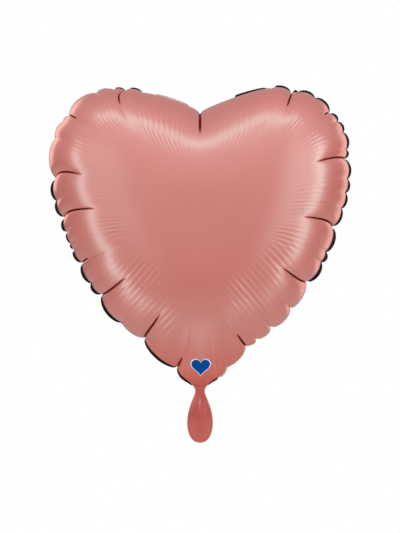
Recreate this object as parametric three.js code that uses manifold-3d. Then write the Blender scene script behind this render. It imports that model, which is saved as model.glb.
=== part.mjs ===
// Heart-shaped foil balloon, inflated, with its self-sealing film valve and its filling tail.
//
// Millimetres, +Z up, the front face looks towards -Y. The origin is the middle of the tail's narrow
// waist, where a ribbon is tied: the heart stands above it and the loose tail hangs below it.
//
// The envelope is two heart-shaped film panels, heat-sealed together all round on a flat band. The
// valve is two plies of clear film in the middle plane, kept from sealing together by a release coat.
// Real film is about 0.04 mm thick; here each layer is thick enough to be a solid of its own.

import * as THREE from "three";
import { mergeVertices } from "three/addons/utils/BufferGeometryUtils.js";
import Module from "manifold-3d";

const wasm = await Module();
wasm.setup();

// ---- Driving dimensions ----

const depth = 180; // front to back, over both panels
const heart = {
  halfWidth: 203,
  widestZ: 308,
  lobeX: 98,
  lobeZ: 413,
  notchZ: 383,
  flankX: 107, // where the round side turns into the straight flank
  flankZ: 92,
  tipX: 26, // where the straight flank turns into the neck
  tipZ: 21,
  throatX: 10, // the panels' opening into the neck
  throatZ: 9,
  fullZ: 170, // from here up the panels stand at their full height off each other
  centreZ: 235,
};
const tail = { waistHalf: 6.4, half: 17, widestZ: -41, endZ: -68 };
const hingeGap = 2; // each side of the waist, left free so that the tail can fold

// How far outline points stand from the heart's centre, as shares of the visible outline.
const panelShare = 0.985;
const bandOuterShare = 1.01;
const bandInnerShare = 0.965;

// The layers, as distances from the middle plane.
const coatOut = 0.1;
const valveIn = 0.15;
const valveOut = 0.45;
const bandOut = 0.45;
const filmIn = 0.5;
const filmThickness = 0.7;
const filmOut = filmIn + filmThickness;

const sealWidth = 2; // of the sealed edges of the neck and the tail
const valve = { rootHalf: 4.2, half: 15, shoulderZ: 45, topZ: 125 };
const mouthEndZ = -46;
const coat = { half: 3, topZ: 40, endZ: -20 };
const mark = { x: 1, z: 34, half: 12, lift: 0.4, thickness: 0.3 };

const ringsAcrossPanel = [0.25, 0.45, 0.6, 0.72, 0.8, 0.86, 0.91, 0.95, 0.98, 1];
const ringsAcrossMark = [0.5, 1];
const sideSteps = 36; // steps along one side of a panel's outline
const markSteps = 12;
const edgeSamples = 360; // along one side of the outline, for measuring distances to it

// ---- Finishes ----

const finish = (color, roughness, metalness) =>
  new THREE.MeshStandardMaterial({ color, roughness, metalness });
const satinFilm = finish(0xcf837c, 0.42, 0.85);
const sealedFilm = finish(0xb8655c, 0.3, 0.9);
const clearFilm = finish(0xe6e8ea, 0.25, 0);
const releaseInk = finish(0x8fa3b5, 0.6, 0);
const markInk = finish(0x004a92, 0.5, 0);

// ---- Outlines, in the X-Z plane: a 2D point's y is the part's z ----

const mirrored = (points) => points.map((p) => new THREE.Vector2(-p.x, p.y)).reverse();

// Draws the heart's right side from its tip up to the notch, spread from the centre by a share.
function drawRightSide(path, share) {
  const { halfWidth, widestZ, lobeX, lobeZ, notchZ, flankX, flankZ, tipX, tipZ } = heart;
  const at = (x, z) => [x * share, heart.centreZ + (z - heart.centreZ) * share];
  path.lineTo(...at(tipX, tipZ));
  path.lineTo(...at(flankX, flankZ));
  path.bezierCurveTo(...at(152, 131.5), ...at(halfWidth, 240), ...at(halfWidth, widestZ));
  path.bezierCurveTo(...at(halfWidth, 377), ...at(163, lobeZ), ...at(lobeX, lobeZ));
  path.bezierCurveTo(...at(80, 408), ...at(42, 391), ...at(0, notchZ));
  return path;
}

// The right side of a panel's own outline, which starts at the throat.
function panelSide(steps) {
  const path = new THREE.Path().moveTo(heart.throatX, heart.throatZ);
  return drawRightSide(path, panelShare).getSpacedPoints(steps);
}

// The right side of the sealed band's outer or inner edge, which starts at the waist.
function bandSide(share, waistX) {
  const tipX = heart.tipX * share;
  const tipZ = heart.centreZ + (heart.tipZ - heart.centreZ) * share;
  const path = new THREE.Path().moveTo(waistX, hingeGap);
  path.bezierCurveTo(waistX, 6, tipX / 2, tipZ / 2, tipX, tipZ);
  return drawRightSide(path, share).getPoints(10);
}

// The right edge of the tail, moved in by an inset, from the waist down to the widest place.
function drawTailEdge(path, inset) {
  const { waistHalf, half, widestZ } = tail;
  path.moveTo(waistHalf - inset, -hingeGap);
  path.bezierCurveTo(waistHalf + 2 - inset, -9, half - inset, -22, half - inset, widestZ);
  return path;
}

function tailSide() {
  const { half, widestZ, endZ } = tail;
  const path = drawTailEdge(new THREE.Path(), 0);
  path.bezierCurveTo(half, -58, 10, endZ, 0, endZ);
  return path.getPoints(14);
}

// The valve above the waist: it widens inside the neck and hangs free inside the heart.
function valveSide() {
  const { rootHalf, half, shoulderZ, topZ } = valve;
  const path = new THREE.Path().moveTo(rootHalf, hingeGap);
  path.bezierCurveTo(rootHalf, shoulderZ / 3, half, shoulderZ / 2, half, shoulderZ);
  path.lineTo(half, topZ - half);
  path.absarc(0, topZ - half, half, 0, Math.PI * 0.45);
  return path.getPoints(10);
}

// The valve's mouth below the waist: it fills the tail between the seals.
function mouthSide() {
  const path = drawTailEdge(new THREE.Path(), tail.waistHalf - valve.rootHalf);
  path.lineTo(path.currentPoint.x - 5, mouthEndZ);
  return path.getPoints(10);
}

// The printed mark is a small heart. Its outline is drawn round the mark's own centre.
function markOutline() {
  const path = new THREE.Path().moveTo(0, -11);
  path.bezierCurveTo(3, -7, mark.half, -2, mark.half, 5);
  path.bezierCurveTo(mark.half, 12, 3, 13, 0, 7);
  const right = path.getSpacedPoints(markSteps);
  const outline = [...right, ...mirrored(right).slice(1, -1)];
  return outline.map((p) => new THREE.Vector2(mark.x + p.x, mark.z + p.y));
}

// ---- The bulge of an inflated panel ----

const edge = panelSide(edgeSamples);
const edgeStep = edge[0].distanceTo(edge[1]);
const wholeEdge = [...edge, ...mirrored(edge)];

// Distance to the outline, smoothed so that it has no ridges: exact beside a long straight edge.
function distanceToEdge(x, z) {
  let sum = 0;
  for (const p of wholeEdge) sum += edgeStep / Math.hypot(p.x - x, p.y - z) ** 3;
  return Math.sqrt(2 / sum);
}
const deepest = distanceToEdge(0, heart.centreZ);

// Height of a film panel over the outline's plane: round at the edge and flat in the middle, as two
// sheets that can't stretch stand when they are blown up. The heart closes like a wedge to its throat.
function bulge(x, z) {
  const share = Math.min(1, distanceToEdge(x, z) / deepest);
  const rise = Math.min(1, (z - heart.throatZ + 5) / (heart.fullZ - heart.throatZ));
  const wedge = Math.sin((rise * Math.PI) / 2);
  return (depth / 2 - filmIn) * Math.sqrt(1 - (1 - share) ** 1.57) * wedge;
}

// ---- Solids ----

// A flat piece from its outline, between two distances along Y.
function plate(outline, lowY, highY) {
  const flat = { depth: highY - lowY, bevelEnabled: false };
  const geometry = new THREE.ExtrudeGeometry(new THREE.Shape(outline), flat);
  return geometry.rotateX(Math.PI / 2).translate(0, highY, 0);
}

// A plate with a right side and its mirror image.
const symmetricPlate = (side, lowY, highY) => plate([...side, ...mirrored(side)], lowY, highY);

// A strip of release coat between the valve's plies, from the waist to its end.
function coatStrip(rootZ, endZ) {
  const side = [new THREE.Vector2(coat.half, rootZ), new THREE.Vector2(coat.half, endZ)];
  return symmetricPlate(side, -coatOut, coatOut);
}

// A domed piece: a turned disc whose rings are wrapped onto an outline round a centre. Each of its
// points then stands at the height that upper or lower gives for it, measured towards -Y.
function wrappedDisc(outline, centre, rings, upper, lower) {
  const profile = [new THREE.Vector2(0, 1)];
  for (const r of rings) profile.push(new THREE.Vector2(r, 1));
  for (const r of [...rings].reverse()) profile.push(new THREE.Vector2(r, 0));
  profile.push(new THREE.Vector2(0, 0));
  const geometry = new THREE.LatheGeometry(profile.reverse(), outline.length);
  const position = geometry.getAttribute("position");
  for (let i = 0; i < position.count; i++) {
    const { x: ring, y: layer } = profile[i % profile.length];
    const rim = outline[Math.floor(i / profile.length) % outline.length];
    const x = centre.x + (rim.x - centre.x) * ring;
    const z = centre.y + (rim.y - centre.y) * ring;
    position.setXYZ(i, x, -(layer ? upper(x, z, ring) : lower(x, z, ring)), z);
  }
  return geometry;
}

function solidOf(geometry) {
  geometry.deleteAttribute("normal");
  geometry.deleteAttribute("uv");
  const merged = mergeVertices(geometry);
  const vertProperties = merged.getAttribute("position").array;
  const triVerts = new Uint32Array(merged.index.array);
  return new wasm.Manifold(new wasm.Mesh({ numProp: 3, vertProperties, triVerts }));
}

function geometryOf(solid) {
  const { vertProperties, triVerts } = solid.getMesh();
  const geometry = new THREE.BufferGeometry();
  geometry.setAttribute("position", new THREE.BufferAttribute(vertProperties, 3));
  geometry.setIndex(new THREE.BufferAttribute(triVerts, 1));
  geometry.computeVertexNormals();
  return geometry;
}

// The front panel: a thin dome, open at the back, with its ply of the neck joined to its tip.
function panelGeometry() {
  const right = panelSide(sideSteps);
  const outline = [...right, ...mirrored(right).slice(1)];
  const centre = new THREE.Vector2(0, heart.centreZ);
  const height = (x, z, ring) => filmIn + (ring === 1 ? 0 : bulge(x, z));
  const dome = solidOf(wrappedDisc(outline, centre, ringsAcrossPanel, height, () => filmIn));
  const inset = 1 - filmThickness / (heart.centreZ - heart.throatZ);
  const thinner = 1 - filmThickness / depth;
  const hollow = dome
    .translate([0, filmIn, -heart.centreZ])
    .scale([inset, thinner, inset])
    .translate([0, -filmIn + filmThickness / 2, heart.centreZ]);
  const neck = new THREE.Path().moveTo(tail.waistHalf, hingeGap);
  neck.bezierCurveTo(tail.waistHalf, 4, 8, 7, heart.throatX, heart.throatZ + 1);
  const ply = solidOf(symmetricPlate(neck.getPoints(6), -filmOut, -filmIn));
  return geometryOf(dome.subtract(hollow).add(ply));
}

// The mark lies on the front panel, and follows its bulge.
function markGeometry() {
  const centre = new THREE.Vector2(mark.x, mark.z);
  const lower = (x, z) => filmIn + bulge(x, z) + mark.lift;
  const upper = (x, z) => lower(x, z) + mark.thickness;
  return wrappedDisc(markOutline(), centre, ringsAcrossMark, upper, lower);
}

// ---- The assembly ----

function named(name, geometry, material) {
  const mesh = new THREE.Mesh(geometry, material);
  mesh.name = name;
  return mesh;
}

// The same piece turned half round the Z axis, so that it lies behind, or on the left.
function turned(name, geometry, material) {
  const mesh = named(name, geometry, material);
  mesh.rotation.z = Math.PI;
  return mesh;
}

const envelope = new THREE.Group();
const panel = panelGeometry();
const bandOuter = bandSide(bandOuterShare, tail.waistHalf);
const bandInner = bandSide(bandInnerShare, tail.waistHalf - sealWidth);
const bandRight = [...bandInner].reverse();
const bandLeft = mirrored(bandRight);
const band = [...bandOuter, ...mirrored(bandOuter), ...bandLeft, ...bandRight.slice(1)];
const valvePly = symmetricPlate(valveSide(), -valveOut, -valveIn);
envelope.add(
  named("front_panel", panel, satinFilm),
  turned("rear_panel", panel, satinFilm),
  named("seam_band", plate(band, -bandOut, bandOut), sealedFilm),
  named("valve_front_ply", valvePly, clearFilm),
  turned("valve_rear_ply", valvePly, clearFilm),
  named("valve_release_coat", coatStrip(hingeGap, coat.topZ), releaseInk),
  named("printed_mark", markGeometry(), markInk),
);

const tailGroup = new THREE.Group();
const tailPly = symmetricPlate(tailSide(), -filmOut, -filmIn);
const mouthPly = symmetricPlate(mouthSide(), -valveOut, -valveIn);
const sealOuter = drawTailEdge(new THREE.Path(), 0).getPoints(10);
const sealInner = drawTailEdge(new THREE.Path(), sealWidth).getPoints(10);
const seal = plate([...sealOuter, ...sealInner.reverse()], -bandOut, bandOut);
tailGroup.add(
  named("tail_front_ply", tailPly, satinFilm),
  turned("tail_rear_ply", tailPly, satinFilm),
  named("tail_seal_right", seal, sealedFilm),
  turned("tail_seal_left", seal, sealedFilm),
  named("valve_mouth_front_ply", mouthPly, clearFilm),
  turned("valve_mouth_rear_ply", mouthPly, clearFilm),
  named("valve_mouth_coat", coatStrip(-hingeGap, coat.endZ), releaseInk),
);

const balloon = new THREE.Group();
balloon.add(envelope, tailGroup);

export default balloon;
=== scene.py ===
import math

import bmesh
import bpy
import numpy as np
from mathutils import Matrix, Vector
from mathutils.bvhtree import BVHTree


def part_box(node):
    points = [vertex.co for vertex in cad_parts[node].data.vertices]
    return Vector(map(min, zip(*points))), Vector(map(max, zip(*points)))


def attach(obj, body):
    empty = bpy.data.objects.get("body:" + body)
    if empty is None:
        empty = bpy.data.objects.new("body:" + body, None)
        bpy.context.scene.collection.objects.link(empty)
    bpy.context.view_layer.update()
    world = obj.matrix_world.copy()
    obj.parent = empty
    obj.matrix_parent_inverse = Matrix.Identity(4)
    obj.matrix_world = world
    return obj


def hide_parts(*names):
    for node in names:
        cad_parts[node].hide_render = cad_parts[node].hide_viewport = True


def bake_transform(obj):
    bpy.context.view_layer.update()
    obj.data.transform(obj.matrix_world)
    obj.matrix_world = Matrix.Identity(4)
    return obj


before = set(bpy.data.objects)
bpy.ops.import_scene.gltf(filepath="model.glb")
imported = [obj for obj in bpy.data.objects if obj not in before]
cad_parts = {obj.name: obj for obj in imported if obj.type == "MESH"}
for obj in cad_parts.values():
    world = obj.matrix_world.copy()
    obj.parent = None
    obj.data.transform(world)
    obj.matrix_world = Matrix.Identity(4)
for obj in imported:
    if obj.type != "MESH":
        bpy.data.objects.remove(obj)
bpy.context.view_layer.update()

# ---- Camera ----
# A long lens, level with the middle of the balloon and square to its printed face, so that the
# heart shows with almost no perspective.
FRAME_HEIGHT = 0.7196  # of the plane that the seam lies in
CAMERA_DISTANCE = 2.6
SENSOR = 36.0

camera_data = bpy.data.cameras.new("camera")
camera_data.sensor_width = SENSOR
camera_data.lens = SENSOR * CAMERA_DISTANCE / FRAME_HEIGHT
camera = bpy.data.objects.new("camera", camera_data)
camera.location = (0, -CAMERA_DISTANCE, 0.1694)
camera.rotation_euler = (math.radians(90), 0, 0)
bpy.context.collection.objects.link(camera)
bpy.context.scene.camera = camera

# ---- Front film ----
# One sheet of metallised nylon, lacquered a satin rose pink, that makes the front of the heart, of
# the neck and of the tail. It is cut and sealed flat, so gas can only round it by drawing its edge
# in: the edge puckers into deep creases and small scallops, and fine wrinkles run in from it.
MM = 0.001
HEART_CENTRE = 0.235
THROAT = np.array((0.010, 0.009))  # half width and height of the opening from heart to neck
SEAM_SHARE = 0.974  # of the outline's size: the scallops reach past the seam's mean line
HALF_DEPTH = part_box("rear_panel")[1].y
FULL_DEPTH_Z = 0.151  # from here up the two films stand at their full height off each other

# (clock angle in degrees from the notch, reach in mm, depth in mm, sideways jog in mm)
DEEP_CREASES = (
    (0, 34, 5.0, 0),
    (36, 24, 5.0, -2),
    (51, 12, 3.0, -4),
    (68, 40, 5.5, -2),
    (94, 50, 5.0, -6),
    (121, 42, 5.0, 5),
    (160, 26, 4.5, 0),
    (-171, 18, 3.5, 0),
    (-155, 38, 5.0, 3),
    (-128, 40, 5.0, -3),
    (-111, 12, 2.5, 2),
    (-90, 46, 5.0, 7),
    (-75, 46, 5.5, 10),
    (-52, 15, 4.0, 3),
    (-30, 28, 5.0, -13),
)
# (clock angle in degrees, depth in mm)
SMALL_PUCKERS = (
    (29, 1.0), (38, 0.9), (44, 1.1), (55, 0.9), (59, 0.8), (65, 0.8), (75, 0.9), (80, 0.8),
    (86, 0.6), (105, 0.8), (110, 0.8), (135, 3.2), (147, 4.4), (155, 3.2), (170, 1.4),
    (-143, 1.0), (-121, 0.8), (-104, 0.5), (-101, 0.4), (-96, 0.5), (-83, 0.8), (-61, 0.9),
    (-55, 1.0), (-40, 0.9), (-34, 0.9), (-25, 0.6),
)


def bezier(p0, p1, p2, p3, steps):
    t = np.linspace(0, 1, steps)[:, None]
    a, b, c, d = (np.array(p, float) for p in (p0, p1, p2, p3))
    return a * (1 - t) ** 3 + 3 * b * t * (1 - t) ** 2 + 3 * c * t**2 * (1 - t) + d * t**3


def respace(points, positions):
    """Points at these distances along a polyline."""
    lengths = np.hypot(*np.diff(points, axis=0).T)
    along = np.concatenate(([0], np.cumsum(lengths)))
    return np.stack([np.interp(positions, along, points[:, k]) for k in (0, 1)], axis=1)


def polyline_length(points):
    return np.hypot(*np.diff(points, axis=0).T).sum()


def smoothstep(low, high, value):
    t = np.clip((value - low) / (high - low), 0, 1)
    return t * t * (3 - 2 * t)


def seam_line():
    """The seam's mean line, from the throat's right end up to the notch and down to its left end."""
    flank = np.array(((26, 21), (107, 92))) * MM
    side = bezier((107, 92), (152, 131.5), (203, 240), (203, 308), 200) * MM
    lobe = bezier((203, 308), (203, 377), (163, 413), (98, 413), 200) * MM
    dip = bezier((98, 413), (80, 408), (42, 391), (0, 383), 200) * MM
    right = np.concatenate((flank, side[1:], lobe[1:], dip[1:]))
    right = (right - (0, HEART_CENTRE)) * SEAM_SHARE + (0, HEART_CENTRE)
    right = np.concatenate((THROAT[None, :], right))
    return np.concatenate((right, right[-2::-1] * (-1, 1)))


seam = seam_line()
seam_length = polyline_length(seam)
EVEN_STEPS = 1400  # points at even distances along the seam
even_s = np.linspace(0, seam_length, EVEN_STEPS)
even_seam = respace(seam, even_s)
clock = np.degrees(np.arctan2(even_seam[:, 0], even_seam[:, 1] - HEART_CENTRE))


def s_at_clock(degrees):
    """Distance along the seam, in metres, at a clock angle: it falls as the distance grows."""
    return float(np.interp(-degrees, -clock, even_s))


creases = [(s_at_clock(a), reach * MM, depth * MM, jog * MM) for a, reach, depth, jog in DEEP_CREASES]
creases.sort()
crease_s = np.array([c[0] for c in creases])
puckers = sorted((s_at_clock(a), depth * MM) for a, depth in SMALL_PUCKERS)
pinch_s = np.sort(np.concatenate((crease_s, [p[0] for p in puckers])))


def columns_along_seam():
    """Distances along the seam for the mesh's columns, closer together at each pinch."""
    fine = np.linspace(0, seam_length, 20000)
    density = np.full_like(fine, 1 / (1.45 * MM))
    for s in pinch_s:
        density += np.exp(-(((fine - s) / (2.5 * MM)) ** 2)) / (0.6 * MM)
    count = np.concatenate(([0], np.cumsum((density[1:] + density[:-1]) / 2 * np.diff(fine))))
    whole = 8 * round(count[-1] / 8)
    return np.interp(np.linspace(0, count[-1], whole + 1), count, fine)


def inward_normals(points):
    """Inward normals of the seam line, smoothed so that they fan out evenly round the notch."""
    ahead = np.gradient(points, axis=0)
    normals = np.stack((-ahead[:, 1], ahead[:, 0]), axis=1)
    normals /= np.linalg.norm(normals, axis=1)[:, None]
    half = 24
    kernel = np.hanning(2 * half + 1)
    padded = np.pad(normals, ((half, half), (0, 0)), mode="edge")
    smooth = np.stack([np.convolve(padded[:, k], kernel / kernel.sum(), "valid") for k in (0, 1)], axis=1)
    return smooth / np.linalg.norm(smooth, axis=1)[:, None]


def edge_distance(x, z):
    """Distance to the seam, smoothed so that it has no ridges: exact beside a long straight seam."""
    step = seam_length / (EVEN_STEPS - 1)
    flat_x, flat_z = x.ravel(), z.ravel()
    total = np.empty_like(flat_x)
    for start in range(0, len(flat_x), 4000):
        part = slice(start, start + 4000)
        gap = (flat_x[part, None] - even_seam[:, 0]) ** 2 + (flat_z[part, None] - even_seam[:, 1]) ** 2
        total[part] = (step * (gap + 1e-9) ** -1.5).sum(axis=1)
    return np.sqrt(2 / total).reshape(x.shape)


DEEPEST = float(edge_distance(np.array([0.0]), np.array([HEART_CENTRE]))[0])


def bulge(x, z):
    """Height of a film off the seam's plane, as two sheets that can't stretch stand when blown up.
    It rises steeply at the seam, and slowly from the throat."""
    share = np.clip(edge_distance(x, z) / DEEPEST, 0, 1)
    rise = np.clip((z - THROAT[1] + 0.005) / (FULL_DEPTH_Z - THROAT[1]), 0, 1)
    rise = rise**2 / (rise + 0.03 * (1 - rise) ** 2 + 1e-6)
    return HALF_DEPTH * np.sqrt(1 - (1 - share) ** 1.57) * np.sin(rise * math.pi / 2)


COLUMNS = columns_along_seam()
even_normals = inward_normals(even_seam)
column_foot = respace(seam, COLUMNS)
column_normal = np.stack([np.interp(COLUMNS, even_s, even_normals[:, k]) for k in (0, 1)], axis=1)
# Near the throat the columns turn to run straight up from it.
turn = smoothstep(40 * MM, THROAT[0], np.abs(column_foot[:, 0])) * (column_foot[:, 1] < 60 * MM)
column_normal += turn[:, None] * ((0, 1) - column_normal)
column_normal /= np.linalg.norm(column_normal, axis=1)[:, None]
column_along = np.stack((column_normal[:, 1], -column_normal[:, 0]), axis=1)
THROAT_STEPS = 16  # mesh faces across the throat, the neck and the tail
ROWS = 50  # mesh faces from the seam in to the plain middle
ELBOW = 0.055  # how far in from the seam the columns run square to it
INNER_SHARE = 0.42  # of the outline's size, where the fine mesh ends
WRINKLE_PITCH = 7.5 * MM  # from one fine wrinkle to the next
WRINKLE_HEIGHT = 0.15 * MM
SLIT_DEPTH = 7.5 * MM  # of the sharp fold along a deep crease
SLIT_WIDTH = 0.75 * MM
LIP_HEIGHT = 1.0 * MM
FLANK_START = (0.026, 0.021)  # the lower end of the right flank, and which way the flank runs
FLANK_RUN = (0.752, 0.659)
row_share = np.linspace(0, 1, ROWS + 1) ** 1.9


def fine_zone_plan():
    """Where the mesh points of the creased zone lie in the seam's plane: rows by columns by xz."""
    centre = np.array((0, HEART_CENTRE))
    share = row_share[:, None, None]

    def curve_in(foot, normal):
        inner = centre + INNER_SHARE * (foot - centre)
        room = 0.75 * np.abs(foot[:, 0]) / np.maximum(np.abs(normal[:, 0]), 1e-6)
        limited = (foot[:, 1] < 0.2) & (np.abs(normal[:, 0]) > 0.01)
        elbow = foot + normal * np.minimum(ELBOW, np.where(limited, room, 1))[:, None]
        return (1 - share) ** 2 * foot + 2 * share * (1 - share) * elbow + share**2 * inner

    plan = curve_in(column_foot, column_normal)
    rough_depth = row_share * 2 * ELBOW
    for s, _, _, jog in creases:
        slide = jog * (1 - np.exp(-rough_depth / (7 * MM))) * (1 - row_share) ** 2
        near = np.exp(-(((COLUMNS - s) / (14 * MM)) ** 2))
        plan -= slide[:, None, None] * near[:, None] * column_along
    across = np.linspace(-1, 1, THROAT_STEPS + 1)[1:-1]
    throat_foot = np.stack((across * THROAT[0], np.full_like(across, THROAT[1])), axis=1)
    throat = curve_in(throat_foot, np.tile((0.0, 1.0), (len(across), 1)))
    return np.concatenate((plan, throat), axis=1)


def position_between(ends):
    """For each column: the width of the stretch it lies in, and where it lies across it, -1 to 1."""
    ends = np.concatenate(([0], ends, [seam_length]))
    index = np.clip(np.searchsorted(ends, COLUMNS, side="right") - 1, 0, len(ends) - 2)
    width = ends[index + 1] - ends[index]
    return width, (COLUMNS - ends[index]) / width * 2 - 1


def pucker_relief(depth_in, reach_scale, random):
    """How far the film stands off its smooth shape, and how much painted shade goes along its creases."""
    # Low pillows between neighbouring pinches, and wider ones between the deep creases.
    width, across = position_between(pinch_s)
    pillow = np.minimum(0.08 * width, 3.0 * MM) * (1 - across**2)
    relief = pillow * np.exp(-depth_in / (0.32 * width + 3 * MM))
    width, across = position_between(crease_s)
    swell = np.minimum(0.035 * width, 2.8 * MM) * (1 - across**2)
    relief += swell * smoothstep(70 * MM, 0, depth_in)
    # A small pucker is a soft nick that soon fades.
    for s, depth in puckers:
        off = np.abs(COLUMNS - s)
        nick = np.exp(-off / (2.2 * MM)) * np.exp(-depth_in / (2.5 * depth + 3 * MM))
        relief -= depth * nick
    # Each crease is a valley with one lip higher than the other, and a sharp slit along it.
    crease_shade = np.zeros_like(relief)
    for s, reach, depth, _ in creases:
        reach = reach * reach_scale * random.uniform(0.9, 1.1)
        off = COLUMNS - s
        fade = np.clip(1 - depth_in / reach, 0, 1)
        valley = np.exp(-np.abs(off) / ((2.5 + 3 * fade) * MM))
        slit = np.exp(-((off / SLIT_WIDTH) ** 2)) * np.minimum(1, 2.5 * fade)
        side = random.choice((-1, 1))
        lip = side * np.exp(-(((off - side * 2.5 * MM) / (2.5 * MM)) ** 2))
        relief -= depth * 0.5 * fade**0.8 * valley
        relief -= SLIT_DEPTH * slit * smoothstep(-2 * MM, 5 * MM, depth_in)
        # Painted shade: the slit's mask also darkens the colour and takes the coat off along the crease.
        crease_shade = np.maximum(crease_shade, slit)
        relief += LIP_HEIGHT * fade * lip * smoothstep(0, 4 * MM, depth_in)
    # Fine wrinkles start some way in from the seam, between the deep creases.
    wander = np.interp(COLUMNS, np.linspace(0, seam_length, 60), random.uniform(-1.6, 1.6, 60))
    strength = np.interp(COLUMNS, np.linspace(0, seam_length, 40), random.uniform(0.4, 1.0, 40))
    ripple = np.cos(COLUMNS / WRINKLE_PITCH * 2 * math.pi + wander)
    window = smoothstep(14 * MM, 34 * MM, depth_in) * smoothstep(90 * MM, 55 * MM, depth_in)
    window = window * smoothstep(0.13, 0.19, column_foot[:, 1])
    near_notch = np.exp(-((column_foot[:, 0] / 0.08) ** 2)) * (column_foot[:, 1] > 0.3)
    relief += WRINKLE_HEIGHT * (strength + 0.8 * near_notch) * (1 - across**2) * ripple * window
    relief *= smoothstep(0, 25 * MM, np.minimum(COLUMNS, seam_length - COLUMNS))
    return relief, crease_shade


def flank_wrinkles(x, z, random):
    """The long straight wrinkles square to each lower flank, well in from the seam. They are
    strongest near the tip, and stronger on the right."""
    out = np.abs(x) - FLANK_START[0]
    up = z - FLANK_START[1]
    along = out * FLANK_RUN[0] + up * FLANK_RUN[1]
    inward = up * FLANK_RUN[0] - out * FLANK_RUN[1]
    shift = np.where(x > 0, *random.uniform(0, 6, 2))
    bend = 0.9 * np.sin(along / (31 * MM) + shift) + 0.5 * np.sin(inward / (17 * MM) + 2 * shift)
    ripple = np.cos(along / WRINKLE_PITCH * 2 * math.pi + bend + shift)
    patchy = 0.65 + 0.35 * np.sin(along / (13 * MM) + 2 * shift)
    window = smoothstep(18 * MM, 40 * MM, inward) * smoothstep(96 * MM, 72 * MM, inward)
    window = window * smoothstep(38 * MM, 70 * MM, along) * smoothstep(210 * MM, 165 * MM, along)
    low_end = smoothstep(150 * MM, 90 * MM, along)
    window = window * (0.5 + low_end * np.where(x > 0, 1.6, 0.8))
    return 2 * WRINKLE_HEIGHT * ripple * patchy * window


def grid_normals(points):
    """Outward unit normals of the creased zone's points, on the -Y side."""
    normals = np.cross(np.gradient(points, axis=1), np.gradient(points, axis=0))
    normals /= np.linalg.norm(normals, axis=2)[:, :, None] + 1e-12
    return normals if normals[-1, :, 1].mean() < 0 else -normals


random = np.random.default_rng(5)
sway_places = np.linspace(0, seam_length, 45)
sway = np.interp(COLUMNS, sway_places, random.uniform(-1.5, 1.5, 45) * MM)
sway *= smoothstep(0, 40 * MM, np.minimum(COLUMNS, seam_length - COLUMNS))
plan = fine_zone_plan()
depth_in_plan = np.concatenate(
    (np.zeros((1, plan.shape[1])), np.cumsum(np.linalg.norm(np.diff(plan, axis=0), axis=2), axis=0))
)
plan_height = bulge(plan[:, :, 0], plan[:, :, 1])
plan_height[0, : len(COLUMNS)] = 0


def zone_points(reach_scale, seed, side):
    """The creased zone of a film, rows by columns by xyz. side is -1 for the front, 1 for the rear."""
    points = np.stack((plan[:, :, 0], -plan_height, plan[:, :, 1]), axis=2)
    seam_columns = slice(0, len(COLUMNS))
    depth_in = depth_in_plan[:, seam_columns]
    random = np.random.default_rng(seed)
    relief, crease_shade = pucker_relief(depth_in, reach_scale, random)
    normals = grid_normals(points)
    points += normals * flank_wrinkles(plan[:, :, 0], plan[:, :, 1], random)[:, :, None]
    points[:, seam_columns] += normals[:, seam_columns] * relief[:, :, None]
    points[:, :, 1] *= -side
    points[:, seam_columns, 1] += sway * np.exp(-depth_in / (12 * MM))
    return points, np.pad(crease_shade, ((0, 0), (0, points.shape[1] - crease_shade.shape[1])))


# The neck and the tail: half widths against height, from the throat down to the tail's round end.
NECK = bezier((10, 9), (8, 7), (6.4, 4), (6.4, 0), 10) * MM
TAIL_FLARE = bezier((6.4, 0), (7.5, -7), (17, -22), (17, -41), 34) * MM
TAIL_END = bezier((17, -41), (17, -58), (10, -68), (0.4, -68), 30) * MM
strip_profile = np.concatenate((NECK, TAIL_FLARE[1:], TAIL_END[1:]))
PLY_OFFSET = 1.0 * MM  # of each film from the tail's middle plane


def tail_curl(x, z, half_width):
    """How the loose tail is bent out of its plane: a hollow facing the front, and a soft ridge."""
    across = x / half_width
    hollow = 3.2 * MM * (1 - across**2) * smoothstep(-14 * MM, -40 * MM, z)
    swing = -4.5 * MM * smoothstep(-6 * MM, -80 * MM, z)
    hollow = hollow * smoothstep(-78 * MM, -52 * MM, z)
    ridge_x = 0.3 * z
    ridge = -1.3 * MM * np.exp(-(((x - ridge_x) / (4.0 * MM)) ** 2))
    valley = 2.0 * MM * np.exp(-(((x - 3.0 * MM) / (3.5 * MM)) ** 2))
    upper = smoothstep(-2 * MM, -14 * MM, z) * smoothstep(-36 * MM, -20 * MM, z)
    return hollow + swing + (ridge + valley) * upper


def strip_rows(throat_row, side):
    """The film's rows from the throat to the tail's end, each with the throat's columns."""
    across = np.linspace(-1, 1, THROAT_STEPS + 1)
    flat = PLY_OFFSET * (1 - across**10)
    rows = []
    for half_width, z in strip_profile[1:]:
        x = across * half_width
        upper = np.clip((z + 1 * MM) / (THROAT[1] + 1 * MM), 0, 1) ** 2
        height = np.abs(throat_row[:, 1]) * upper + flat * (1 - upper)
        y = side * height * min(1, half_width / (4 * MM)) + tail_curl(x, z, half_width)
        rows.append(np.stack((x, y, np.full_like(x, z)), axis=1))
    return rows


# (size as a share of the creased zone's inner edge, whether it has half the columns)
MIDDLE_RINGS = (
    (0.92, False), (0.84, True), (0.72, False), (0.6, True), (0.45, False), (0.3, True), (0.15, False),
)


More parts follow.
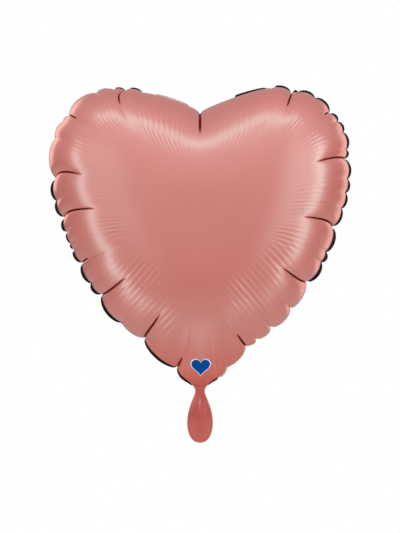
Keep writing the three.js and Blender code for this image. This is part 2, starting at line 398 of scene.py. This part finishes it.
def film(name, reach_scale, seed, side):
    """A whole film as one sheet: the creased zone, the plain middle, and the neck and tail."""
    zone, crease_shade = zone_points(reach_scale, seed, side)
    verts = [tuple(p) for row in zone for p in row]
    count = zone.shape[1]
    faces = []

    def add(points):
        verts.extend(tuple(p) for p in points)
        return list(range(len(verts) - len(points), len(verts)))

    rows = [list(range(j * count, (j + 1) * count)) for j in range(len(zone))]
    for outer, inner in zip(rows, rows[1:]):
        faces += [
            (outer[i - 1], outer[i], inner[i], inner[i - 1]) for i in range(len(outer))
        ]
    # The middle: rings that keep every column, or every second one of the ring outside them.
    last = rows[-1]
    edge = zone[-1][:, (0, 2)] - (0, HEART_CENTRE)
    for size, halve in MIDDLE_RINGS:
        edge = edge[::2] if halve else edge
        ring_plan = edge * size + (0, HEART_CENTRE)
        height = bulge(ring_plan[:, 0], ring_plan[:, 1])
        ring = add(np.stack((ring_plan[:, 0], side * height, ring_plan[:, 1]), axis=1))
        total = len(last)
        for i in range(len(ring)):
            if halve:
                outer = (last[2 * i - 2], last[2 * i - 1], last[2 * i])
            else:
                outer = (last[i - 1], last[i])
            faces.append((*outer, ring[i], ring[i - 1]))
        last = ring
    (peak,) = add([(0, side * float(bulge(np.array([0.0]), np.array([HEART_CENTRE]))[0]), HEART_CENTRE)])
    faces += [(last[i - 1], last[i], peak) for i in range(len(last))]
    # The neck and the tail.
    first_columns = rows[0][len(COLUMNS) - 1 :] + rows[0][:1]
    above = first_columns
    for row in strip_rows(np.array([verts[i] for i in first_columns]), side):
        below = add(row)
        faces += [
            (above[i], above[i + 1], below[i + 1], below[i]) for i in range(THROAT_STEPS)
        ]
        above = below
    if side > 0:
        faces = [f[::-1] for f in faces]
    made = mesh_object(name, verts, faces)
    crease_shade_attribute = made.data.attributes.new("crease_shade", "FLOAT", "POINT")
    values = np.zeros(len(verts), dtype=np.float32)
    values[: crease_shade.size] = crease_shade.ravel()
    crease_shade_attribute.data.foreach_set("value", values)
    return made, zone


def mesh_object(name, verts, faces):
    mesh = bpy.data.meshes.new(name)
    mesh.from_pydata(verts, [], faces)
    mesh.validate()
    mesh.shade_smooth()
    made = bpy.data.objects.new(name, mesh)
    bpy.context.collection.objects.link(made)
    return made


def linear(hex_colour):
    """An sRGB hex colour as linear RGBA."""
    parts = [int(hex_colour[i : i + 2], 16) / 255 for i in (1, 3, 5)]
    return (*(p / 12.92 if p <= 0.04045 else ((p + 0.055) / 1.055) ** 2.4 for p in parts), 1)


def add_node(tree, kind, inputs=None, **settings):
    """Adds a node, sets its settings, and sets each input to a value or links it to an output."""
    node = tree.nodes.new(kind)
    for key, value in settings.items():
        setattr(node, key, value)
    for key, value in (inputs or {}).items():
        if isinstance(value, bpy.types.NodeSocket):
            tree.links.new(value, node.inputs[key])
        else:
            node.inputs[key].default_value = value
    return node


def new_material(name):
    material = bpy.data.materials.new(name)
    material.use_nodes = True
    material.node_tree.nodes.clear()
    return material, material.node_tree


# Painted shade in the creases: the dark brown that the film's colour goes to along each slit.
PAINTED_CREASE_SHADE = "#2e1411"
CLOUD_SCALE = 14.0  # clouds about 70 mm across
GRAIN_SCALE = 900.0  # a grain of about 1.1 mm


def satin_lacquered_film(name, base, deep, flat, roughness):
    """Metallised nylon under a satin lacquer: a soft rose with a whiter sheen on top. The lacquer is
    a little uneven, which shows as faint clouds about 70 mm across and a grain of about 1 mm, drawn
    coarser than it is so that it shows. Towards the tail the colour goes to the flat colour and the
    coat thins, as painted shade; along each sharp crease a dark brown is painted in and the coat taken
    off."""
    material, tree = new_material(name)
    place = add_node(tree, "ShaderNodeTexCoord").outputs["Object"]
    clouds = add_node(tree, "ShaderNodeTexNoise", {"Vector": place, "Scale": CLOUD_SCALE, "Detail": 3.0})
    grain = add_node(tree, "ShaderNodeTexNoise", {"Vector": place, "Scale": GRAIN_SCALE, "Detail": 2.0})
    cloudy = add_node(
        tree,
        "ShaderNodeMix",
        {"Factor": clouds.outputs["Fac"], "A": linear(base), "B": linear(deep)},
        data_type="RGBA",
    )
    # Painted shade: the colour darkens to the flat colour towards the tail, below 35 mm up.
    height = add_node(tree, "ShaderNodeSeparateXYZ", {"Vector": place}).outputs["Z"]
    tail_shade = add_node(
        tree, "ShaderNodeMapRange", {"Value": height, "From Min": 0.035, "From Max": -0.01},
        interpolation_type="SMOOTHSTEP",
    )
    colour = add_node(
        tree,
        "ShaderNodeMix",
        {"Factor": tail_shade.outputs["Result"], "A": cloudy.outputs["Result"], "B": linear(flat)},
        data_type="RGBA",
    )
    # Painted shade too: the coat thins towards the tail, below 100 mm up, so that it reflects less.
    sheen = add_node(
        tree,
        "ShaderNodeMapRange",
        {"Value": height, "From Min": 0.1, "From Max": 0.005, "To Min": 1.0, "To Max": 0.3},
        interpolation_type="SMOOTHSTEP",
    )
    # Painted shade along each crease: the colour goes to a dark brown and the coat is taken off.
    crease_shade = add_node(tree, "ShaderNodeAttribute", attribute_name="crease_shade").outputs["Fac"]
    creased = add_node(
        tree,
        "ShaderNodeMix",
        {"Factor": crease_shade, "A": colour.outputs["Result"], "B": linear(PAINTED_CREASE_SHADE)},
        data_type="RGBA",
    )
    unshaded = add_node(tree, "ShaderNodeMath", {0: 1.0, 1: crease_shade}, operation="SUBTRACT")
    coat = add_node(
        tree,
        "ShaderNodeMath",
        {0: sheen.outputs["Result"], 1: unshaded.outputs["Value"]},
        operation="MULTIPLY",
    )
    rough = add_node(
        tree,
        "ShaderNodeMapRange",
        {"Value": clouds.outputs["Fac"], "To Min": roughness - 0.03, "To Max": roughness + 0.03},
    )
    bump = add_node(
        tree, "ShaderNodeBump", {"Height": grain.outputs["Fac"], "Strength": 0.12, "Distance": 0.0002}
    )
    shader = add_node(
        tree,
        "ShaderNodeBsdfPrincipled",
        {
            "Base Color": creased.outputs["Result"],
            "Metallic": 0.25,
            "Roughness": rough.outputs["Result"],
            "Coat Weight": coat.outputs["Value"],
            "Coat IOR": 2.7,
            "Coat Roughness": 0.28,
            "Normal": bump.outputs["Normal"],
        },
    )
    add_node(tree, "ShaderNodeOutputMaterial", {"Surface": shader.outputs["BSDF"]})
    return material


front_film, front_zone = film("front_film", 1.0, 11, -1)
satin_rose = satin_lacquered_film("satin_rose_film", "#eb5f4f", "#e45948", "#cd4538", 0.42)
front_film.data.materials.append(satin_rose)
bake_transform(front_film)
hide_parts("front_panel", "tail_front_ply")

# ---- Rear film ----
# The same sheet again, turned to the back and left unprinted. It is drawn in along the same seam,
# but its creases run to other lengths.
rear_film, _ = film("rear_film", 0.85, 23, 1)
rear_film.data.materials.append(satin_rose)
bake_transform(rear_film)
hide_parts("rear_panel", "tail_rear_ply")

# ---- Seam margin ----
# Outside the seam both films are fused into one flat margin a few millimetres wide, coloured near
# black as a painted dark reflection. It stands out in some places and is folded back against the
# rear film in others, and each pinch draws it in.
MARGIN_THICKNESS = 0.5 * MM
MARGIN_FOLDED = (3.0 * MM, 105)  # width, and angle from standing straight out, in degrees
STANDING_ANGLE = 16
TURNED_UP_ANGLE = 30
CRIMP_PITCH = 3.2 * MM  # of the margin's wave, left by the jaws that fused it
CRIMP_HEIGHT = 0.3 * MM

# (from and to, as clock angles in degrees, and width in mm, where the margin stands out)
STANDING = (
    (17, 28, 3.0), (30, 36, 3.2), (36, 51, 3.5), (51, 94, 3.6), (94, 121, 4.8),
    (174, 178, 2.6), (-29, -25, 2.2), (-34, -30, 2.0), (-90, -75, 4.2), (-96, -90, 4.2),
    (-104, -96, 2.4), (-111, -104, 4.0), (-128, -111, 4.4), (-144, -128, 4.2), (-171, -155, 3.8),
    (-178, -171, 3.4),
)
# The same where it is turned up, coloured pale pink there as a painted highlight along the edge.
TURNED_UP = ((-21, -6, 2.4), (-74, -36, 1.3), (121, 158, 1.0), (169, 174, 3.0))


def stretch_share(low_clock, high_clock):
    """1 along the seam between two clock angles, easing to 0 over 5 mm at each end."""
    first, last = s_at_clock(high_clock), s_at_clock(low_clock)
    begun = smoothstep(first - 1 * MM, first + 4 * MM, COLUMNS)
    return begun * smoothstep(last + 1 * MM, last - 4 * MM, COLUMNS)


def seam_margin():
    width = np.full(len(COLUMNS), MARGIN_FOLDED[0])
    angle = np.full(len(COLUMNS), float(MARGIN_FOLDED[1]))
    turned_up = np.zeros(len(COLUMNS), dtype=bool)
    for stretches, lean in ((STANDING, STANDING_ANGLE), (TURNED_UP, TURNED_UP_ANGLE)):
        for low_clock, high_clock, wide in stretches:
            inside = stretch_share(low_clock, high_clock)
            width += inside * (wide * MM - width)
            angle += inside * (lean - angle)
            if stretches is TURNED_UP:
                turned_up |= inside > 0.02
    _, across = position_between(pinch_s)
    width = width * (0.25 + 0.75 * np.sqrt(1 - across**2))
    angle = np.radians(angle)
    outward = np.stack((-column_normal[:, 0], np.zeros(len(COLUMNS)), -column_normal[:, 1]), axis=1)
    back = np.array((0, 1.0, 0))
    reach = outward * np.cos(angle)[:, None] + back * np.sin(angle)[:, None]
    across_reach = -outward * np.sin(angle)[:, None] + back * np.cos(angle)[:, None]
    crimp = CRIMP_HEIGHT * np.sin(COLUMNS / CRIMP_PITCH * 2 * math.pi)
    root = front_zone[0][: len(COLUMNS)]
    lower, upper = [], []
    # (share of the width, from just inside the films to the free edge, and share of the thickness)
    for share, thickness in ((-0.12, 0.5), (0.3, 1), (0.7, 1), (1, 0.6)):
        lift = across_reach * (crimp * max(share, 0))[:, None]
        middle = root + reach * (width * share)[:, None] + lift
        half = across_reach * MARGIN_THICKNESS * thickness / 2
        lower.append(middle - half)
        upper.append(middle + half)
    section = np.stack(lower + upper[::-1], axis=1)
    made = closed_strip("seam_margin", section)
    sides = section.shape[1]
    # Turned-up stretches get the second material, a pale pink painted highlight.
    for face in made.data.polygons:
        face.material_index = int(turned_up[min(v // sides for v in face.vertices)])
    return made


def closed_strip(name, section):
    """A closed strip from its cross sections: an array of sections by corners by xyz."""
    count, sides = section.shape[:2]
    faces = []
    for i in range(count - 1):
        a, b = i * sides, (i + 1) * sides
        faces += [(a + k, b + k, b + (k + 1) % sides, a + (k + 1) % sides) for k in range(sides)]
    faces.append(tuple(range(sides)))
    faces.append(tuple(reversed(range((count - 1) * sides, count * sides))))
    made = mesh_object(name, [tuple(p) for p in section.reshape(-1, 3)], faces)
    tidy = bmesh.new()
    tidy.from_mesh(made.data)
    bmesh.ops.recalc_face_normals(tidy, faces=tidy.faces)
    tidy.to_mesh(made.data)
    tidy.free()
    return made


def sealed_foil(name, base, roughness):
    """Fused metallised film: a dull mirror, crimped every 3 mm or so by the jaws that fused it, and
    more tarnished in some places than in others, in patches about 17 mm across."""
    material, tree = new_material(name)
    place = add_node(tree, "ShaderNodeTexCoord").outputs["Object"]
    crimp = add_node(tree, "ShaderNodeTexNoise", {"Vector": place, "Scale": 350.0, "Detail": 2.0})
    bump = add_node(
        tree, "ShaderNodeBump", {"Height": crimp.outputs["Fac"], "Strength": 0.4, "Distance": 0.0006}
    )
    tarnish = add_node(tree, "ShaderNodeTexNoise", {"Vector": place, "Scale": 60.0, "Detail": 3.0})
    duller = tuple(0.7 * part for part in linear(base)[:3]) + (1,)
    colour = add_node(
        tree,
        "ShaderNodeMix",
        {"Factor": tarnish.outputs["Fac"], "A": linear(base), "B": duller},
        data_type="RGBA",
    )
    rough = add_node(
        tree,
        "ShaderNodeMapRange",
        {"Value": tarnish.outputs["Fac"], "To Min": roughness - 0.08, "To Max": roughness + 0.08},
    )
    shader = add_node(
        tree,
        "ShaderNodeBsdfPrincipled",
        {
            "Base Color": colour.outputs["Result"],
            "Metallic": 0.65,
            "Roughness": rough.outputs["Result"],
            "Normal": bump.outputs["Normal"],
        },
    )
    add_node(tree, "ShaderNodeOutputMaterial", {"Surface": shader.outputs["BSDF"]})
    return material


margin = seam_margin()
# Painted dark reflection: the margin is coloured near black.
margin.data.materials.append(sealed_foil("painted_dark_reflection_margin", "#130908", 0.3))
# Painted highlight: the turned-up stretches are coloured a pale pink.
margin.data.materials.append(sealed_foil("painted_highlight_margin", "#f6b4ab", 0.3))
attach(margin, "envelope")
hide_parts("seam_band")

# ---- Sealed edges of the tail ----
# The tail's two films are fused along both edges. The seal shows as a thin, paler line of bare foil
# round the tail.
SEAL_WIDTH = 2 * MM
SEAL_HALF_THICKNESS = 0.16 * MM
SEAL_OVERHANG = 0.35 * MM  # how far the seal shows past the films
FLAP_TOP = -2 * MM
flap = strip_profile[strip_profile[:, 1] <= FLAP_TOP]


def flap_sheet(name, left, right, heights, front, back, columns=8):
    """A thin closed sheet that follows the tail's curl, between two edges given for each height."""
    rows = []
    half_widths = np.interp(-heights, -flap[:, 1], flap[:, 0])
    for x0, x1, z, half_width in zip(left, right, heights, half_widths):
        x = np.linspace(x0, x1, columns + 1)
        middle = tail_curl(x, z, half_width)
        z_row = np.full_like(x, z)
        near = np.stack((x, middle + front, z_row), axis=1)
        far = np.stack((x, middle + back, z_row), axis=1)
        rows.append(np.concatenate((near, far[::-1])))
    return closed_strip(name, np.array(rows))


def follow_fold(piece, material):
    """Gives a piece its material and bakes its placement into its mesh."""
    piece.data.materials.append(material)
    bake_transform(piece)


rose_edge = sealed_foil("fused_rose_foil", "#e39388", 0.35)
flap_heights = flap[:, 1]
flap_edge = flap[:, 0] + SEAL_OVERHANG
flap_inner = np.maximum(flap[:, 0] - SEAL_WIDTH, 0.02 * MM)
seal_faces = (-SEAL_HALF_THICKNESS, SEAL_HALF_THICKNESS)
right_seal = flap_sheet("tail_seal_right_edge", flap_inner, flap_edge, flap_heights, *seal_faces)
left_seal = flap_sheet("tail_seal_left_edge", -flap_edge, -flap_inner, flap_heights, *seal_faces)
follow_fold(right_seal, rose_edge)
follow_fold(left_seal, rose_edge)
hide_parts("tail_seal_right")
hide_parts("tail_seal_left")

# ---- Valve ----
# A flat tube of two plies of clear film lies between the balloon's films, from the tail up into the
# heart. Gas pressure presses it shut. A strip of release ink keeps its plies from fusing.
MOUTH_END = -46 * MM
MOUTH_CLEARANCE = 0.5 * MM  # between the valve's edges and the tail's seal
PLY_FACES = (0.15 * MM, 0.3 * MM)  # of each ply, from the tail's middle plane
COAT_END = -20 * MM
COAT_HALF = 3 * MM
COAT_HALF_THICKNESS = 0.08 * MM

# Clear blown film: glossy, with faint haze streaks about 8 mm across.
clear, tree = new_material("clear_polyethylene_film")
place = add_node(tree, "ShaderNodeTexCoord").outputs["Object"]
streaks = add_node(tree, "ShaderNodeTexNoise", {"Vector": place, "Scale": 120.0, "Detail": 3.0})
haze = add_node(
    tree, "ShaderNodeMapRange", {"Value": streaks.outputs["Fac"], "To Min": 0.08, "To Max": 0.2}
)
bump = add_node(
    tree, "ShaderNodeBump", {"Height": streaks.outputs["Fac"], "Strength": 0.15, "Distance": 0.0005}
)
shader = add_node(
    tree,
    "ShaderNodeBsdfPrincipled",
    {
        "Base Color": linear("#e8ecec"),
        "Roughness": haze.outputs["Result"],
        "Transmission Weight": 0.85,
        "Normal": bump.outputs["Normal"],
    },
)
add_node(tree, "ShaderNodeOutputMaterial", {"Surface": shader.outputs["BSDF"]})

# Heat-resistant ink, printed and dried matt. Its speckle is drawn coarser than it is, at 2.5 mm.
ink, tree = new_material("matt_release_ink")
place = add_node(tree, "ShaderNodeTexCoord").outputs["Object"]
speckle = add_node(tree, "ShaderNodeTexNoise", {"Vector": place, "Scale": 400.0})
tint = add_node(
    tree,
    "ShaderNodeMix",
    {"Factor": speckle.outputs["Fac"], "A": linear("#5d6a78"), "B": linear("#4c5866")},
    data_type="RGBA",
)
shader = add_node(
    tree, "ShaderNodeBsdfPrincipled", {"Base Color": tint.outputs["Result"], "Roughness": 0.8}
)
add_node(tree, "ShaderNodeOutputMaterial", {"Surface": shader.outputs["BSDF"]})

mouth_heights = np.linspace(FLAP_TOP, MOUTH_END, 24)
mouth_half = np.interp(-mouth_heights, -flap[:, 1], flap[:, 0]) - SEAL_WIDTH - MOUTH_CLEARANCE
near_face, far_face = PLY_FACES
front_mouth = flap_sheet(
    "valve_mouth_front_film", -mouth_half, mouth_half, mouth_heights, -far_face, -near_face
)
rear_mouth = flap_sheet(
    "valve_mouth_rear_film", -mouth_half, mouth_half, mouth_heights, near_face, far_face
)
coat_heights = np.linspace(FLAP_TOP, COAT_END, 10)
coat_half = np.full(len(coat_heights), COAT_HALF)
coat_faces = (-COAT_HALF_THICKNESS, COAT_HALF_THICKNESS)
mouth_coat = flap_sheet("valve_mouth_ink", -coat_half, coat_half, coat_heights, *coat_faces)
follow_fold(front_mouth, clear)
follow_fold(rear_mouth, clear)
follow_fold(mouth_coat, ink)
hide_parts("valve_mouth_front_ply")
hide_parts("valve_mouth_rear_ply")
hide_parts("valve_mouth_coat")
# The plies and the coat inside the heart are the CAD's own.
for node, material in (
    ("valve_front_ply", clear),
    ("valve_rear_ply", clear),
    ("valve_release_coat", ink),
):
    bpy.data.objects[node].data.materials.clear()
    bpy.data.objects[node].data.materials.append(material)

# ---- Printed mark ----
# A small plain heart with a pale outline, screen printed above the neck. The ink lies on the film
# and follows its curve.
MARK_CENTRE = (1 * MM, 33.5 * MM)
MARK_HALF = 13.9 * MM
MARK_OUTLINE = 1.4 * MM  # width of the pale line round the blue heart
INK_LIFT = 0.12 * MM  # of each coat of ink, so that it clears the film
MARK_RINGS = 10


def heart_outline(half, steps=72):
    """A plain heart's outline, half as wide as given, about the middle of its height."""
    t = np.linspace(0, 2 * math.pi, steps, endpoint=False)
    x = 16 * np.sin(t) ** 3
    z = 13 * np.cos(t) - 5 * np.cos(2 * t) - 2 * np.cos(3 * t) - np.cos(4 * t) + 2.5
    return np.stack((x, z), axis=1) * half / 16


film_tree = BVHTree.FromObject(front_film, bpy.context.evaluated_depsgraph_get())


def on_front_film(plan_points, lift):
    """Points on the front film straight behind these plan points, lifted off it."""
    placed = []
    for x, z in plan_points:
        hit, normal, _, _ = film_tree.ray_cast(Vector((x, -0.3, z)), Vector((0, 1, 0)))
        normal = normal if normal.y < 0 else -normal
        placed.append(tuple(hit + normal * lift))
    return placed


def printed_shape(name, half, lift):
    """A heart of ink on the front film, made of rings round its centre."""
    outline = heart_outline(half)
    verts = on_front_film([MARK_CENTRE], lift)
    faces = []
    for ring in range(1, MARK_RINGS + 1):
        verts += on_front_film(outline * ring / MARK_RINGS + MARK_CENTRE, lift)
    count = len(outline)
    for i in range(count):
        j = (i + 1) % count
        faces.append((0, 1 + j, 1 + i))
        for ring in range(MARK_RINGS - 1):
            a, b = 1 + ring * count, 1 + (ring + 1) * count
            faces.append((a + i, a + j, b + j, b + i))
    made = mesh_object(name, verts, faces)
    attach(made, "envelope")
    return made


def screen_ink(name, colour):
    """Screen ink: flat, opaque and nearly matt, glossier in patches about 4 mm across."""
    material, tree = new_material(name)
    place = add_node(tree, "ShaderNodeTexCoord").outputs["Object"]
    patch = add_node(tree, "ShaderNodeTexNoise", {"Vector": place, "Scale": 250.0})
    rough = add_node(
        tree, "ShaderNodeMapRange", {"Value": patch.outputs["Fac"], "To Min": 0.35, "To Max": 0.5}
    )
    shader = add_node(
        tree,
        "ShaderNodeBsdfPrincipled",
        {"Base Color": linear(colour), "Roughness": rough.outputs["Result"], "Specular IOR Level": 0.04},
    )
    add_node(tree, "ShaderNodeOutputMaterial", {"Surface": shader.outputs["BSDF"]})
    return material


white_heart = printed_shape("printed_outline", MARK_HALF, INK_LIFT)
white_heart.data.materials.append(screen_ink("white_screen_ink", "#ffffff"))
blue_heart = printed_shape("printed_heart", MARK_HALF - MARK_OUTLINE, 2 * INK_LIFT)
blue_heart.data.materials.append(screen_ink("blue_screen_ink", "#004da6"))
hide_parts("printed_mark")

# ---- Room ----
# A plain pale studio. The balloon floats well above a round floor, with soft lights on both sides,
# above, below and behind it. The cool front ones show in the satin as pale bands round its edge.
FLOOR_Z = -1.3
FLOOR_RADIUS = 7
FLOOR_SIDES = 96
turns = np.linspace(0, 2 * math.pi, FLOOR_SIDES, endpoint=False)
rim = [(FLOOR_RADIUS * math.cos(a), FLOOR_RADIUS * math.sin(a), FLOOR_Z) for a in turns]
floor_mesh = bpy.data.meshes.new("floor")
floor_mesh.from_pydata(rim, [], [tuple(range(FLOOR_SIDES))])
floor = bpy.data.objects.new("floor", floor_mesh)
bpy.context.collection.objects.link(floor)
pale, tree = new_material("pale_floor")
straight = add_node(tree, "ShaderNodeLightPath").outputs["Is Camera Ray"]
glow = add_node(tree, "ShaderNodeMath", {0: straight, 1: 0.4}, operation="MULTIPLY")
shader = add_node(
    tree,
    "ShaderNodeBsdfPrincipled",
    {
        "Base Color": linear("#d8d4d0"),
        "Roughness": 0.9,
        "Emission Color": (1, 1, 1, 1),
        "Emission Strength": glow.outputs["Value"],
    },
)
add_node(tree, "ShaderNodeOutputMaterial", {"Surface": shader.outputs["BSDF"]})
floor_mesh.materials.append(pale)

world = bpy.data.worlds.new("studio")
bpy.context.scene.world = world
world.use_nodes = True
tree = world.node_tree
tree.nodes.clear()
direction = add_node(tree, "ShaderNodeTexCoord").outputs["Generated"]
parts = add_node(tree, "ShaderNodeSeparateXYZ", {"Vector": direction})
front_light = add_node(
    tree,
    "ShaderNodeMapRange",
    {"Value": parts.outputs["Y"], "From Min": -0.7, "From Max": 0.6, "To Min": 0.74, "To Max": 0.38},
)
high_light = add_node(
    tree,
    "ShaderNodeMapRange",
    {"Value": parts.outputs["Z"], "From Min": -0.6, "From Max": 0.6, "To Min": 0.33, "To Max": 1.22},
)
room_light = add_node(
    tree,
    "ShaderNodeMath",
    {0: front_light.outputs["Result"], 1: high_light.outputs["Result"]},
    operation="MULTIPLY",
)
seen = add_node(tree, "ShaderNodeLightPath").outputs["Is Camera Ray"]
strength = add_node(
    tree, "ShaderNodeMix", {"Factor": seen, "A": room_light.outputs["Value"], "B": 1.0}, data_type="FLOAT"
)
background = add_node(
    tree, "ShaderNodeBackground", {"Color": (1, 1, 1, 1), "Strength": strength.outputs["Result"]}
)
add_node(tree, "ShaderNodeOutputWorld", {"Surface": background.outputs["Background"]})


def soft_light(name, place, width, height, power, colour):
    """A rectangular light aimed at the middle of the heart, out of the camera's sight."""
    data = bpy.data.lights.new(name, "AREA")
    data.shape = "RECTANGLE"
    data.size = width
    data.size_y = height
    data.energy = power
    data.color = linear(colour)[:3]
    light = bpy.data.objects.new(name, data)
    light.location = place
    aim = Vector((0, 0, 0.22)) - Vector(place)
    light.rotation_euler = aim.to_track_quat("-Z", "Y").to_euler()
    light.visible_camera = False
    bpy.context.collection.objects.link(light)


COOL = "#caf6f4"
COOLER = "#a8faf6"
WARM = "#ffd6c8"
soft_light("left_front", (-2.2, -1.0, 0.0), 0.4, 2.4, 7.5, COOL)
soft_light("right_front", (2.2, -1.0, 0.1), 0.5, 2.4, 9, COOL)
soft_light("left_fill", (-1.4, -1.9, 0.4), 1.5, 1.8, 3.6, COOL)
soft_light("right_fill", (1.65, -1.65, 0.5), 1.5, 2.0, 6.8, COOL)
soft_light("top_front", (-0.15, -1.3, 2.5), 3.0, 0.5, 9, COOLER)
soft_light("under", (0, -0.25, -1.15), 0.5, 0.4, 0.3, COOL)
soft_light("low_left", (-1.15, -0.5, -0.95), 0.5, 1.0, 1.5, COOL)
soft_light("low_right", (1.15, -0.5, -0.95), 0.5, 1.0, 0.4, COOL)
soft_light("left_back", (-1.6, 1.9, 1.0), 1.1, 1.8, 9, WARM)
soft_light("right_back", (1.6, 1.7, 0.35), 1.3, 2.0, 8, WARM)
bpy.context.scene.view_settings.view_transform = "Standard"
